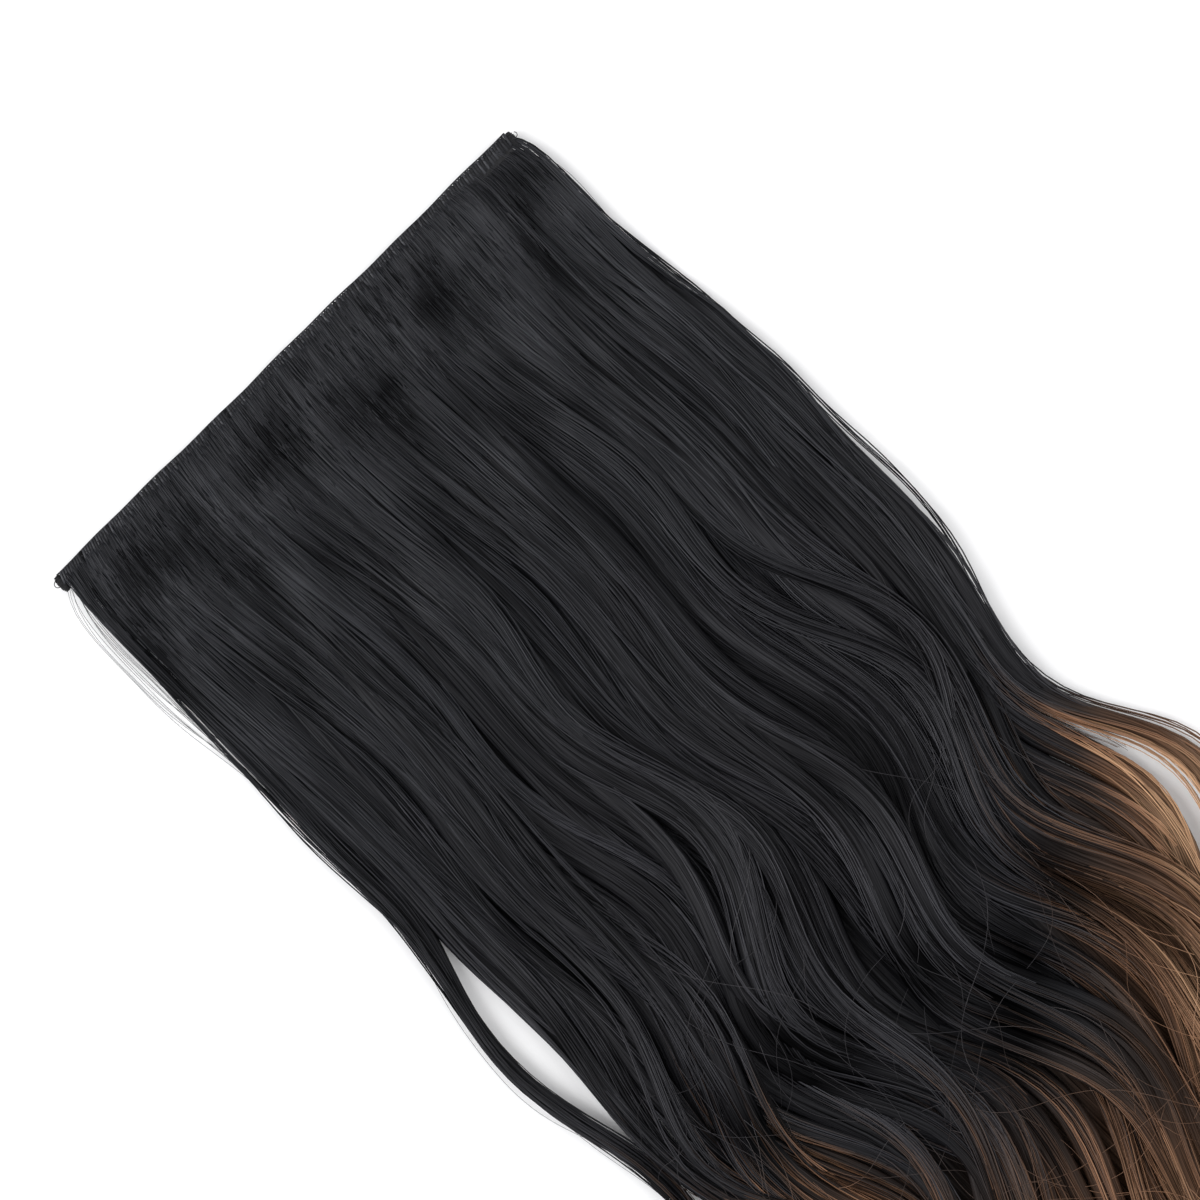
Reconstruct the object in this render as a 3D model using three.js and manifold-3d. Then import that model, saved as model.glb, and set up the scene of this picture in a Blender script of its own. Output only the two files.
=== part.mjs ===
// A clip-in hair extension: one weft of wavy hair on a stitched track with four sewn-on snap clips.
// Millimetres. X runs along the stitched edge, the hair runs towards -Y, +Z is up, and it lies on z = 0.
// The origin is the centre of the underside of the whole object's box.

import * as THREE from 'three';
import { LoftGeometry } from 'three/addons/geometries/LoftGeometry.js';
import { mergeVertices } from 'three/addons/utils/BufferGeometryUtils.js';
import Module from 'manifold-3d';

const wasm = await Module();
wasm.setup();

// The stitched track

const TRACK_WIDTH = 206;        // end to end along the stitched edge, both knots included
const BAND_HEIGHT = 6;          // from the stitched edge to where the hair leaves the stitches
const BAND_THICKNESS = 2.5;
const BAND_ROUNDING = 0.7;      // of the band's long edges
const KNOT_WIDTH = 3.2;         // along the stitched edge
const KNOT_HEIGHT = 6.6;        // along the hair
const KNOT_THICKNESS = 3;
const CLEARANCE = 0.3;          // between neighbouring pieces

// The snap clips under the track

const CLIP_COUNT = 4;
const CLIP_WIDTH = 32;
const CLIP_DEPTH = 13;
const CLIP_THICKNESS = 2.7;
const CLIP_END_INSET = 9;       // from the end of the band to the outermost clips
const CLIP_SET_BACK = 0.8;      // from the stitched edge to the clips' back edge
const CLIP_BAR = 3.8;           // depth of the solid bar that is sewn on
const CLIP_RIM = 1.8;           // of the clip's frame around the comb
const CLIP_BACK_RADIUS = 1.5;
const CLIP_FRONT_RADIUS = 6;
const CLIP_SLOT_COUNT = 6;
const CLIP_SLOT_WIDTH = 1.5;
const CLIP_SEW_HOLE_RADIUS = 0.8;
const CLIP_SEW_HOLE_SPACING = 22;
const CLIP_SEW_HOLE_SIDES = 6;

// The hair

const HAIR_LENGTH = 560;        // from the stitched edge to the longest tips
const DROP_RUN = 46;            // over which the hair comes down from the track to the surface
const LOCK_WIDTH = 24;
const LOCK_THICKNESS = 6.5;
const TIP_WIDTH = 3;
const TAPER_START = 0.64;       // as a share of a lock's own length
const ROOT_THICKNESS = 2;       // of a lock where it leaves the track
const FILL_RUN = 110;           // over which a lock swells to its full thickness
const FLARE_RUN = 210;          // from the stitched edge: the stretch where a lock may flare outwards
const WAVE_LENGTH = 125;
const WAVE_SWING = 11;          // sideways, to each side
const WAVE_RISE = 5;            // in height, from trough to crest
const WAVE_START = 70;          // the hair hangs straight down to here
const WAVE_GROWTH = 220;        // and swings fully after this further stretch
const CURTAIN_THICKNESS = 2.4;  // of the thin sheet of hair that backs the locks
const CURTAIN_UNDERSIDE = 0.4;  // above the locks' undersides
const CURTAIN_LENGTH = 440;     // from the stitched edge
const SECTIONS_PER_WAVE = 6;

const HALF_TRACK = TRACK_WIDTH / 2;
const BAND_WIDTH = TRACK_WIDTH - 2 * (KNOT_WIDTH + CLEARANCE);
const BAND_UNDERSIDE = CLIP_THICKNESS + CLEARANCE;
const HAIR_START = BAND_HEIGHT + CLEARANCE;
const DROP_START = Math.max(HAIR_START, CLIP_SET_BACK + CLIP_DEPTH + CLEARANCE);

const COLOURS = {
  hair: 0x17171a,
  band: 0x111114,
  steel: 0x8f9194,
};

// Rows of numbers under their columns' names
function table(columns, ...rows) {
  return rows.map((row) => Object.fromEntries(columns.map((column, i) => [column, row[i]])));
}

// One row a lock, from the left flank to the right. root, tip and bow are shares of half the track:
// where the lock leaves it, where it ends, and how far it bows to the right on the way. So is flare, how
// far it bows within the flare's run. swing and rise are shares of the wave's. crest is where it swings
// furthest right, as a share of a wave's length. reach is a share of the hair's length, and breadth and
// lift are shares of a lock's width and thickness.
const LOCKS = table(
  ['root', 'tip', 'bow', 'flare', 'swing', 'crest', 'reach', 'breadth', 'lift', 'rise'],
  [-0.955, -0.90, -0.045, 0.00, 0.45, 0.22, 0.90, 0.38, 0.0, 0.2],
  [-0.84, -0.83, 0.02, 0.00, 0.60, 0.66, 0.96, 0.90, 0.0, 0.5],
  [-0.65, -0.63, 0.02, 0.00, 0.85, 0.74, 0.92, 1.00, 0.0, 0.6],
  [-0.46, -0.47, 0.00, 0.00, 1.00, 0.70, 1.00, 1.05, 0.0, 0.7],
  [-0.26, -0.24, -0.02, 0.00, 0.90, 0.76, 0.94, 1.00, 0.0, 0.6],
  [-0.06, -0.08, 0.00, 0.00, 1.00, 0.71, 0.99, 1.05, 0.0, 0.8],
  [0.14, 0.15, 0.02, 0.00, 0.95, 0.75, 0.93, 1.00, 0.0, 0.6],
  [0.34, 0.32, 0.00, 0.00, 1.05, 0.69, 1.00, 1.05, 0.0, 0.8],
  [0.53, 0.54, 0.02, 0.00, 0.95, 0.67, 0.95, 1.00, 0.0, 0.6],
  [0.71, 0.72, 0.03, 0.02, 0.90, 0.60, 0.98, 1.00, 0.0, 0.7],
  [0.86, 0.80, 0.00, 0.05, 0.80, 0.38, 0.93, 0.80, 0.0, 0.5],
  [0.94, 1.03, 0.055, 0.068, 1.00, 0.40, 0.89, 0.46, 0.1, 0.4],
  [-0.54, -0.66, -0.02, 0.00, 1.00, 0.82, 0.85, 1.10, 0.7, 0.9],
  [-0.17, -0.30, 0.02, 0.00, 1.10, 0.64, 0.89, 1.20, 0.7, 1.0],
  [0.21, 0.28, -0.03, 0.00, 1.10, 0.80, 0.86, 1.20, 0.7, 1.0],
  [0.60, 0.68, 0.04, 0.00, 1.05, 0.62, 0.88, 1.10, 0.7, 0.9],
);

// One row a section of the backing curtain: along is a share of its length, left and right are
// shares of half the track, and full is a share of its thickness.
const CURTAIN = table(
  ['along', 'left', 'right', 'full'],
  [0.00, -0.985, 0.985, 1.0],
  [0.10, -0.97, 0.98, 1.2],
  [0.20, -0.94, 0.99, 1.2],
  [0.30, -0.88, 0.98, 1.1],
  [0.45, -0.84, 0.90, 1.0],
  [0.60, -0.84, 0.84, 1.0],
  [0.80, -0.78, 0.80, 0.9],
  [1.00, -0.62, 0.64, 0.6],
);

// A lock's section: six corners, as shares of its half width and half thickness
const LOCK_SECTION = table(
  ['across', 'up'],
  [1, 0],
  [0.55, 1],
  [-0.55, 1],
  [-1, 0],
  [-0.55, -1],
  [0.55, -1],
);

// Eases from 0 to 1 as x goes from 0 to 1, flat at both ends and outside them.
function ease(x) {
  const k = THREE.MathUtils.clamp(x, 0, 1);
  return k * k * (3 - 2 * k);
}

function material(color, roughness, metalness) {
  return new THREE.MeshStandardMaterial({ color, roughness, metalness });
}

function toSolid(geometry) {
  const bare = new THREE.BufferGeometry();
  bare.setAttribute('position', geometry.attributes.position);
  bare.setIndex(geometry.index);
  const merged = mergeVertices(bare, 1e-4);
  return new wasm.Manifold(new wasm.Mesh({
    numProp: 3,
    vertProperties: new Float32Array(merged.attributes.position.array),
    triVerts: new Uint32Array(merged.index.array),
  }));
}

function toGeometry(solid) {
  const mesh = solid.getMesh();
  const geometry = new THREE.BufferGeometry();
  geometry.setAttribute('position', new THREE.BufferAttribute(mesh.vertProperties, 3));
  geometry.setIndex(new THREE.BufferAttribute(mesh.triVerts, 1));
  geometry.computeVertexNormals();
  return geometry;
}

function addPiece(group, name, geometry, finish) {
  const piece = new THREE.Mesh(geometry, finish);
  piece.name = name;
  group.add(piece);
  return piece;
}

// The track: a flat band with rounded long edges, and a thread-bound knot at each end

function addTrack(group) {
  const band = new THREE.Shape();
  const half = BAND_HEIGHT / 2;
  const low = BAND_UNDERSIDE;
  const high = BAND_UNDERSIDE + BAND_THICKNESS;
  const r = Math.min(BAND_ROUNDING, BAND_THICKNESS / 3, BAND_HEIGHT / 3);
  band.moveTo(-half + r, low);
  band.lineTo(half - r, low);
  band.quadraticCurveTo(half, low, half, low + r);
  band.lineTo(half, high - r);
  band.quadraticCurveTo(half, high, half - r, high);
  band.lineTo(-half + r, high);
  band.quadraticCurveTo(-half, high, -half, high - r);
  band.lineTo(-half, low + r);
  band.quadraticCurveTo(-half, low, -half + r, low);
  const geometry = new THREE.ExtrudeGeometry(
    band, { depth: BAND_WIDTH, bevelEnabled: false, curveSegments: 3 });
  // The section is drawn in Y and Z and pulled along X.
  geometry.translate(0, 0, -BAND_WIDTH / 2);
  geometry.applyMatrix4(new THREE.Matrix4().makeBasis(
    new THREE.Vector3(0, 1, 0), new THREE.Vector3(0, 0, 1), new THREE.Vector3(1, 0, 0)));
  addPiece(group, 'weft_band', geometry, material(COLOURS.band, 0.7, 0)).position.y = -half;

  for (const [name, side] of [['end_binding_left', -1], ['end_binding_right', 1]]) {
    const knot = new THREE.SphereGeometry(0.5, 8, 6);
    knot.scale(KNOT_WIDTH, KNOT_HEIGHT, KNOT_THICKNESS);
    const place = addPiece(group, name, knot, material(COLOURS.band, 0.75, 0)).position;
    place.set(side * (HALF_TRACK - KNOT_WIDTH / 2), -half, low + BAND_THICKNESS / 2);
  }
}

// A snap clip, closed: a D-shaped steel plate with a sewn bar at the back and comb slots in front of it

function clipOutline() {
  const half = CLIP_WIDTH / 2;
  const back = Math.min(CLIP_BACK_RADIUS, CLIP_DEPTH / 3);
  const front = Math.min(CLIP_FRONT_RADIUS, CLIP_DEPTH - back - CLEARANCE, half);
  const outline = new THREE.Shape();
  outline.absarc(half - back, -back, back, 0, Math.PI / 2);
  outline.absarc(-half + back, -back, back, Math.PI / 2, Math.PI);
  outline.absarc(-half + front, -CLIP_DEPTH + front, front, -Math.PI, -Math.PI / 2);
  outline.absarc(half - front, -CLIP_DEPTH + front, front, -Math.PI / 2, 0);
  return outline;
}

function clipGeometry() {
  let clip = toSolid(new THREE.ExtrudeGeometry(
    clipOutline(), { depth: CLIP_THICKNESS, bevelEnabled: false, curveSegments: 4 }));
  const through = 2 * CLIP_THICKNESS;
  const slotLength = CLIP_DEPTH - CLIP_RIM - CLIP_BAR;
  const spread = CLIP_WIDTH - 2 * CLIP_RIM - CLIP_FRONT_RADIUS;
  for (let i = 0; i < CLIP_SLOT_COUNT; i += 1) {
    const slot = new THREE.BoxGeometry(CLIP_SLOT_WIDTH, slotLength, through);
    const x = spread * (i / (CLIP_SLOT_COUNT - 1) - 0.5);
    slot.translate(x, -CLIP_BAR - slotLength / 2, CLIP_THICKNESS / 2);
    clip = clip.subtract(toSolid(slot));
  }
  for (const side of [-1, 1]) {
    const hole = new THREE.CylinderGeometry(
      CLIP_SEW_HOLE_RADIUS, CLIP_SEW_HOLE_RADIUS, through, CLIP_SEW_HOLE_SIDES);
    hole.rotateX(Math.PI / 2);
    hole.translate(side * CLIP_SEW_HOLE_SPACING / 2, -CLIP_BAR / 2, CLIP_THICKNESS / 2);
    clip = clip.subtract(toSolid(hole));
  }
  return toGeometry(clip);
}

function addClips(group) {
  const span = BAND_WIDTH - 2 * CLIP_END_INSET - CLIP_WIDTH;
  for (let i = 0; i < CLIP_COUNT; i += 1) {
    const clip = addPiece(group, `clip_${i + 1}`, clipGeometry(), material(COLOURS.steel, 0.35, 1));
    clip.position.set(span * (i / (CLIP_COUNT - 1) - 0.5), -CLIP_SET_BACK, 0);
  }
}

// The underside of the hair: level over the clips, then down to the surface
function underside(s) {
  return BAND_UNDERSIDE * (1 - ease((s - DROP_START) / DROP_RUN));
}

// How fully the hair waves at s along it
function waving(s) {
  return ease((s - WAVE_START) / WAVE_GROWTH);
}

// A lock's middle line and its half width and half thickness at s along the hair
function lockAt(lock, s) {
  const along = s / (HAIR_LENGTH * lock.reach);
  const turn = 2 * Math.PI * (s / WAVE_LENGTH - lock.crest);
  const fill = ease((s - HAIR_START) / FILL_RUN);
  const tapering = Math.max(0, (along - TAPER_START) / (1 - TAPER_START));
  const taper = 1 - (1 - TIP_WIDTH / LOCK_WIDTH) * tapering ** 2;
  const thickness = THREE.MathUtils.lerp(ROOT_THICKNESS, LOCK_THICKNESS, fill) * Math.sqrt(taper);
  const width = LOCK_WIDTH * lock.breadth * taper;
  const bow = lock.bow * Math.sin(Math.PI * along)
    + lock.flare * Math.sin(Math.PI * Math.min(1, s / FLARE_RUN)) ** 2;
  const x = HALF_TRACK * (THREE.MathUtils.lerp(lock.root, lock.tip, along) + bow)
    + WAVE_SWING * lock.swing * waving(s) * Math.cos(turn);
  const lift = LOCK_THICKNESS * lock.lift * fill * taper;
  const rise = WAVE_RISE * lock.rise * waving(s) * (0.5 + 0.5 * Math.sin(turn));
  return { x, low: underside(s) + lift + rise, halfWidth: width / 2, halfThickness: thickness / 2 };
}

function lockGeometry(lock) {
  const end = HAIR_LENGTH * lock.reach;
  const count = Math.ceil((end - DROP_START) * SECTIONS_PER_WAVE / WAVE_LENGTH);
  const stations = [HAIR_START + 2 * CLEARANCE];
  for (let i = 0; i <= count; i += 1) stations.push(THREE.MathUtils.lerp(DROP_START, end, i / count));
  const sections = [];
  for (const s of stations) {
    const here = lockAt(lock, s);
    const slope = lockAt(lock, s + 0.5).x - lockAt(lock, s - 0.5).x;
    const across = new THREE.Vector3(1, slope, 0).normalize();
    sections.push(LOCK_SECTION.map((corner) => {
      const point = new THREE.Vector3(here.x, -s, here.low + here.halfThickness * (1 + corner.up));
      return point.addScaledVector(across, here.halfWidth * corner.across);
    }));
  }
  return new LoftGeometry(sections, { capStart: true, capEnd: true });
}

function curtainGeometry() {
  const rows = CURTAIN.map((row) => (
    { ...row, s: THREE.MathUtils.lerp(DROP_START, CURTAIN_LENGTH, row.along) }));
  const sections = [{ ...rows[0], s: HAIR_START }, ...rows].map(({ s, left, right, full }) => {
    const free = ease((s - HAIR_START) / DROP_RUN);
    const low = underside(s) + CURTAIN_UNDERSIDE * free;
    const high = low + THREE.MathUtils.lerp(BAND_THICKNESS, CURTAIN_THICKNESS * full, free);
    return [
      new THREE.Vector3(HALF_TRACK * left, -s, low),
      new THREE.Vector3(HALF_TRACK * right, -s, low),
      new THREE.Vector3(HALF_TRACK * right, -s, high),
      new THREE.Vector3(HALF_TRACK * left, -s, high),
    ];
  });
  return new LoftGeometry(sections, { capStart: true, capEnd: true });
}

function addHair(group) {
  let hair = toSolid(curtainGeometry());
  for (const lock of LOCKS) hair = hair.add(toSolid(lockGeometry(lock)));
  // A shell of negative volume is a void sealed in between locks: it is filled.
  hair = wasm.Manifold.compose(hair.decompose().filter((shell) => shell.volume() > 0));
  addPiece(group, 'hair', toGeometry(hair), material(COLOURS.hair, 0.6, 0));
}

const weft = new THREE.Group();
addTrack(weft);
addClips(weft);
addHair(weft);

// The origin goes to the centre of the underside of the whole box.
const box = new THREE.Box3().setFromObject(weft);
const centre = box.getCenter(new THREE.Vector3());
weft.position.set(-centre.x, -centre.y, -box.min.z);

const extension = new THREE.Group();
extension.add(weft);

export default extension;
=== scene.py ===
"""A clip-in hair extension: one weft of long wavy hair, black that turns brown, on a stitched track.

Places are given across the weft from the middle of the stitched edge, down the hair from that edge,
and up from the surface that it lies on, in metres.
"""

import math
from types import SimpleNamespace

import bpy
import numpy as np
from bpy.props import FloatProperty, FloatVectorProperty, IntProperty, PointerProperty
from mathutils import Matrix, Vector


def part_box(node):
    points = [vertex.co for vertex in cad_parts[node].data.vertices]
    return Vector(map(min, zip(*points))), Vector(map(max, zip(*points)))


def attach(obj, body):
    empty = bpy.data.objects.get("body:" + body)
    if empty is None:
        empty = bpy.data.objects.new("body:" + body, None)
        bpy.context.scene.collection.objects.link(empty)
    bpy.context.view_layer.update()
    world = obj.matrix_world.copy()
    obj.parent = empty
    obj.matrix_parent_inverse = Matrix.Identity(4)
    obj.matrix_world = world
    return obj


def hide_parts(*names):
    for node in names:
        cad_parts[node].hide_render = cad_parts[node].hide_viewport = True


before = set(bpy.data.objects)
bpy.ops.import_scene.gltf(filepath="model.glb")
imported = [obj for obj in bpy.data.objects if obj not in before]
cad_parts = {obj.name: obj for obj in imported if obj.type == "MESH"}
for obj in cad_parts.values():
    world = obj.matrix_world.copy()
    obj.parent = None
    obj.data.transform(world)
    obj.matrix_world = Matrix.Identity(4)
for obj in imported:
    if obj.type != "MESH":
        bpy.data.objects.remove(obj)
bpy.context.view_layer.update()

bl_info = {
    "name": "Clip-in hair weft",
    "version": (1, 0, 0),
    "blender": (4, 5, 0),
    "location": "View3D > Sidebar > Weft",
    "description": "A weft of long wavy hair on a stitched track with snap clips",
    "category": "Mesh",
}

# Places that the frame gives, and two sizes of the clips: their sew holes' spacing and sewn bar

MM = 0.001
BAND_LOW, BAND_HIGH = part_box("weft_band")
HAIR_LOW, HAIR_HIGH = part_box("hair")
CLIPS = sorted(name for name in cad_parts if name.startswith("clip_"))
CLIP_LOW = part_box(CLIPS[0])[0]
EDGE_X = (BAND_LOW.x + BAND_HIGH.x) / 2
EDGE_Y = BAND_HIGH.y
HALF_TRACK = (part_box("end_binding_right")[1].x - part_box("end_binding_left")[0].x) / 2
HALF_BAND = (BAND_HIGH.x - BAND_LOW.x) / 2
BAND_THICKNESS = BAND_HIGH.z - BAND_LOW.z
HAIR_START = EDGE_Y - HAIR_HIGH.y
DROP_START = EDGE_Y - CLIP_LOW.y + 0.3 * MM
HOLE_SPACING = 22 * MM
CLIP_BAR = 3.8 * MM


# Sizes and colours that a user may change


class WeftHairSizes(bpy.types.PropertyGroup):
    """Sizes of the hair."""

    length: FloatProperty(
        name="Length", description="From the stitched edge to the longest tips",
        default=0.56, unit="LENGTH")
    drop_run: FloatProperty(
        name="Drop", description="Over which the hair comes down from the track to the surface",
        default=0.046, unit="LENGTH")
    lock_width: FloatProperty(
        name="Lock width", description="Of a lock of breadth 1", default=0.024, unit="LENGTH")
    lock_thickness: FloatProperty(
        name="Lock thickness", description="Of a full lock", default=0.0065, unit="LENGTH")
    tip_width: FloatProperty(
        name="Tip width", description="Of a lock at its tip", default=0.003, unit="LENGTH")
    taper_start: FloatProperty(
        name="Taper start", description="Share of a lock's length", default=0.64)
    root_thickness: FloatProperty(
        name="Root thickness", description="Of a lock at the track", default=0.002, unit="LENGTH")
    fill_run: FloatProperty(
        name="Fill", description="Over which a lock swells to its full thickness",
        default=0.11, unit="LENGTH")
    flare_run: FloatProperty(
        name="Flare", description="Stretch where a lock may flare outwards",
        default=0.21, unit="LENGTH")
    wave_length: FloatProperty(
        name="Wave length", description="From crest to crest", default=0.125, unit="LENGTH")
    wave_swing: FloatProperty(
        name="Wave swing", description="Sideways, to each side", default=0.011, unit="LENGTH")
    wave_rise: FloatProperty(
        name="Wave rise", description="In height, from trough to crest",
        default=0.005, unit="LENGTH")
    wave_start: FloatProperty(
        name="Wave start", description="The hair hangs straight to here",
        default=0.07, unit="LENGTH")
    wave_growth: FloatProperty(
        name="Wave growth", description="And swings fully after this further stretch",
        default=0.22, unit="LENGTH")
    strand_width: FloatProperty(
        name="Strand width", description="Of a full strand", default=0.00042, unit="LENGTH")
    strands: IntProperty(
        name="Strands", description="In each of the four parts of the hair", default=465)
    flyaways: IntProperty(
        name="Flyaways", description="Thin stray hairs over the lower part", default=95)
    flank_hairs: IntProperty(
        name="Flank hairs", description="Thin hairs beside each flank", default=30)
    root_hairs: IntProperty(
        name="Root hairs", description="Short hairs on the sheet near the track", default=1400)


class WeftTrackSizes(bpy.types.PropertyGroup):
    """Sizes of the stitched track, its knots and its sewing."""

    rib_pitch: FloatProperty(
        name="Rib pitch", description="From rib to rib along the edge",
        default=0.00102, unit="LENGTH")
    rib_width: FloatProperty(
        name="Rib width", description="Of one folded rib of hair", default=0.00086, unit="LENGTH")
    rib_height: FloatProperty(
        name="Rib height", description="Above the band", default=0.00030, unit="LENGTH")
    rib_reach: FloatProperty(
        name="Rib reach", description="From the edge down the hair", default=0.0046, unit="LENGTH")
    thread_width: FloatProperty(
        name="Thread width", description="Of the sewing thread", default=0.00036, unit="LENGTH")
    edge_cord_width: FloatProperty(
        name="Edge cord width", description="Of the cord along the very edge",
        default=0.0005, unit="LENGTH")
    knot_turns: IntProperty(
        name="Knot turns", description="Turns of thread on each knot", default=13)


class WeftColours(bpy.types.PropertyGroup):
    """Colours of the hair, the threads and the steel."""

    black: FloatVectorProperty(
        name="Black", description="Of the hair near the track", subtype="COLOR",
        default=(0.0112, 0.0118, 0.0156))
    dark_brown: FloatVectorProperty(
        name="Dark brown", description="Where black turns brown", subtype="COLOR",
        default=(0.030, 0.0182, 0.0135))
    brown: FloatVectorProperty(
        name="Brown", description="Of the lower half", subtype="COLOR",
        default=(0.142, 0.068, 0.0345))
    light_brown: FloatVectorProperty(
        name="Light brown", description="Of the tips", subtype="COLOR",
        default=(0.338, 0.197, 0.110))
    thread: FloatVectorProperty(
        name="Thread", description="Of the sewing thread", subtype="COLOR",
        default=(0.008, 0.008, 0.0095))
    steel: FloatVectorProperty(
        name="Steel", description="Of the snap clips", subtype="COLOR",
        default=(0.36, 0.37, 0.38))
    floor: FloatVectorProperty(
        name="Floor", description="Of the surface under the weft", subtype="COLOR",
        default=(0.93, 0.93, 0.94))


class WeftStageSettings(bpy.types.PropertyGroup):
    """The camera's place and the light."""

    across: FloatProperty(
        name="Across", description="Of the middle of the view", default=0.0178, unit="LENGTH")
    down: FloatProperty(
        name="Down", description="Of the middle of the view", default=0.1279, unit="LENGTH")
    view_width: FloatProperty(
        name="View width", description="Of the surface that the view takes in",
        default=0.3871, unit="LENGTH")
    turn: FloatProperty(
        name="Turn", description="From the view's right side up to the stitched edge",
        default=math.radians(44.56), unit="ROTATION")
    lens: FloatProperty(name="Lens", description="Focal length in millimetres", default=85.0)
    world: FloatProperty(name="Sky light", description="Strength of the even light", default=0.82)
    key: FloatProperty(name="Key light", description="Power in watts", default=12.0)
    fill: FloatProperty(name="Fill light", description="Power in watts", default=5.0)


# Tables of the hair's forms


def columns(names, *rows):
    """Rows of numbers as one array a column."""
    return SimpleNamespace(**{n: np.array(c, float) for n, c in zip(names.split(), zip(*rows))})


def rows_at(table, index):
    """The rows at index, each column in the index's own shape."""
    return SimpleNamespace(**{n: c[index.astype(int)] for n, c in vars(table).items()})


def pick(table, index):
    """The rows at index, each column standing upright so that places along the hair run across."""
    return rows_at(table, index[:, None])


# One row a lock, from the left flank to the right, and then the upper locks. root, tip, bow and flare
# are shares of half the track. swing and rise are shares of the wave's. crest is where the lock swings
# furthest right, as a share of a wave. reach is a share of the hair's length, and breadth and lift are
# shares of a lock's width and thickness. waist is the share of its width that it keeps lower down.
LOCKS = columns(
    "root tip bow flare swing crest reach breadth lift rise waist",
    (-0.94, -0.90, -0.095, 0.06, 0.45, 0.22, 0.90, 0.44, 0.0, 0.2, 0.45),
    (-0.84, -0.83, 0.02, 0.00, 0.48, 0.66, 0.96, 0.90, 0.0, 0.5, 1.0),
    (-0.65, -0.63, 0.02, 0.00, 0.68, 0.74, 0.92, 1.00, 0.0, 0.6, 1.0),
    (-0.46, -0.47, 0.00, 0.00, 0.80, 0.70, 1.00, 1.05, 0.0, 0.7, 1.0),
    (-0.26, -0.24, -0.02, 0.00, 0.72, 0.76, 0.94, 1.00, 0.0, 0.6, 1.0),
    (-0.06, -0.08, 0.00, 0.00, 0.80, 0.71, 0.99, 1.05, 0.0, 0.8, 1.0),
    (0.14, 0.15, 0.02, 0.00, 0.76, 0.75, 0.93, 1.00, 0.0, 0.6, 1.0),
    (0.34, 0.32, 0.00, 0.00, 0.84, 0.69, 1.00, 1.05, 0.0, 0.8, 1.0),
    (0.53, 0.54, 0.02, 0.00, 0.76, 0.67, 0.95, 1.00, 0.0, 0.6, 1.0),
    (0.71, 0.72, 0.03, 0.02, 0.72, 0.60, 0.98, 1.00, 0.0, 0.7, 1.0),
    (0.86, 0.80, 0.00, 0.05, 0.80, 0.38, 0.93, 0.80, 0.0, 0.5, 1.0),
    (0.90, 0.95, 0.04, 0.062, 0.85, 0.39, 0.52, 0.45, 0.0, 0.4, 1.0),
    (0.94, 1.03, 0.055, 0.068, 1.00, 0.40, 0.89, 0.46, 0.1, 0.4, 1.0),
    (-0.54, -0.66, -0.02, 0.00, 0.80, 0.82, 0.85, 1.10, 0.7, 0.9, 1.0),
    (-0.17, -0.30, 0.02, 0.00, 0.88, 0.64, 0.89, 1.20, 0.7, 1.0, 1.0),
    (0.21, 0.28, -0.03, 0.00, 0.88, 0.80, 0.86, 1.20, 0.7, 1.0, 1.0),
    (0.60, 0.68, 0.04, 0.00, 0.84, 0.62, 0.88, 1.10, 0.7, 0.9, 1.0),
)

# One row a section of the backing curtain. left and right are shares of half the track.
CURTAIN = columns(
    "down left right",
    (0.0058, -0.95, 0.975),
    (0.014, -0.945, 1.015),
    (0.057, -0.93, 1.03),
    (0.099, -0.905, 1.04),
    (0.142, -0.86, 1.01),
    (0.206, -0.80, 0.88),
    (0.270, -0.83, 0.83),
    (0.355, -0.77, 0.79),
    (0.440, -0.61, 0.63),
)

# One row a hollow, in metres: where the sheet of hair sinks between the clips and the surface, and
# then where locks part lower down. The hair is also painted darker in these hollows, as painted
# shade.
HOLLOWS = columns(
    "across down wide long deep",
    (-0.071, 0.018, 0.011, 0.008, 0.0025),
    (-0.030, 0.021, 0.010, 0.007, 0.0023),
    (0.012, 0.030, 0.014, 0.009, 0.0014),
    (0.047, 0.024, 0.010, 0.008, 0.0019),
    (0.096, 0.017, 0.011, 0.012, 0.0018),
    (-0.095, 0.034, 0.008, 0.012, 0.0013),
    (-0.038, 0.276, 0.008, 0.018, 0.0019),
    (-0.070, 0.276, 0.007, 0.018, 0.0020),
    (-0.024, 0.282, 0.007, 0.014, 0.0019),
    (0.004, 0.280, 0.007, 0.020, 0.0019),
    (0.036, 0.303, 0.008, 0.013, 0.0020),
    (0.014, 0.322, 0.014, 0.012, 0.0015),
    (0.028, 0.222, 0.006, 0.018, 0.0012),
    (0.061, 0.292, 0.009, 0.018, 0.0024),
    (0.020, 0.298, 0.007, 0.018, 0.0011),
    (-0.087, 0.222, 0.004, 0.014, 0.0010),
)


def ease(x):
    """From 0 to 1 as x goes from 0 to 1, flat at both ends and outside them."""
    k = np.clip(x, 0, 1)
    return k * k * (3 - 2 * k)


def lerp(a, b, k):
    """From a to b as k goes from 0 to 1."""
    return a + (b - a) * k


def hump(share):
    """From 0 up to 1 in the middle and back to 0."""
    return np.clip(np.sin(np.pi * share), 0, 1)


def wave(down, length, turn):
    """A wave between -1 and 1 down the hair, moved along by a share of its length."""
    return np.sin(2 * np.pi * (down / length + turn))


def bell(x, middle, width):
    """1 at the middle, and down to 0 towards both sides."""
    return np.exp(-((x - middle) / width) ** 2)


def place(across, down, up):
    """Points in the row frame."""
    across, down, up = np.broadcast_arrays(across, down, up)
    return np.stack([EDGE_X + across, EDGE_Y - down, up], axis=-1)


# The courses of locks, wisps and strands


def underside(hair, down):
    """Height of the hair's underside: level over the clips, then down to the surface."""
    return BAND_LOW.z * (1 - ease((down - DROP_START) / hair.drop_run))


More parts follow.
